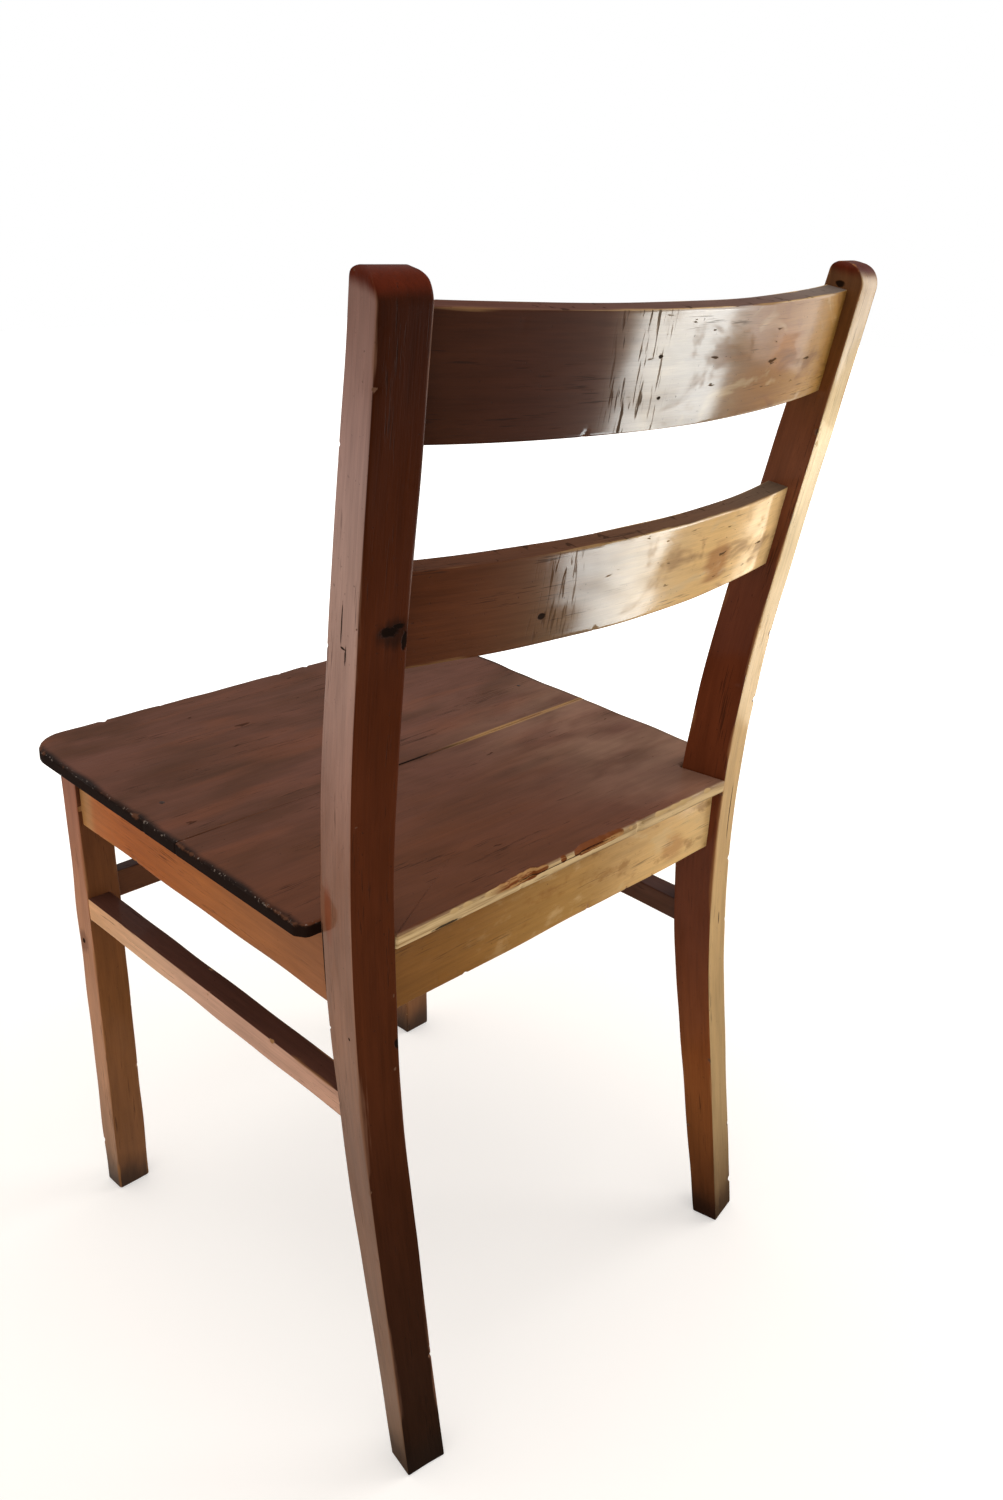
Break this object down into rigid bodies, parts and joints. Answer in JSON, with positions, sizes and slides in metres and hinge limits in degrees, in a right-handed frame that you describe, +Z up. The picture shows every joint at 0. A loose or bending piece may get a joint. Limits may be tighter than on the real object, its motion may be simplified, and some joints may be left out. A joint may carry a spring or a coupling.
{
  "type": "kitchen chair",
  "caption": "Old wooden kitchen chair with a flat two-board seat, raked curved back with bowed slats, plain legs, aprons and stretchers, and worn stained varnish.",
  "frame": {"origin": "on the floor, in the middle of the chair's plan", "axes": "+Z up, the chair faces -Y, +X is the sitter's left"},
  "size_m": [0.4734, 0.4861, 0.8415],
  "materials": {
    "dark_stained_wood": "glossy",
    "worn_golden_wood": "glossy",
    "seat_wood": "satin",
    "nail_steel": "matte"
  },
  "bodies": {
    "root": {"rear_post_left": "dark_stained_wood", "rear_post_right": "dark_stained_wood", "front_leg_left": "dark_stained_wood", "front_leg_right": "dark_stained_wood", "front_apron": "worn_golden_wood", "rear_apron": "worn_golden_wood", "side_apron_left": "worn_golden_wood", "side_apron_right": "worn_golden_wood", "side_stretcher_left": "dark_stained_wood", "side_stretcher_right": "dark_stained_wood", "front_stretcher": "dark_stained_wood", "seat_board_front": "seat_wood", "seat_board_rear": "seat_wood", "top_slat": "worn_golden_wood", "middle_slat": "worn_golden_wood", "seat_nails": "nail_steel"}
  },
  "joints": []
}
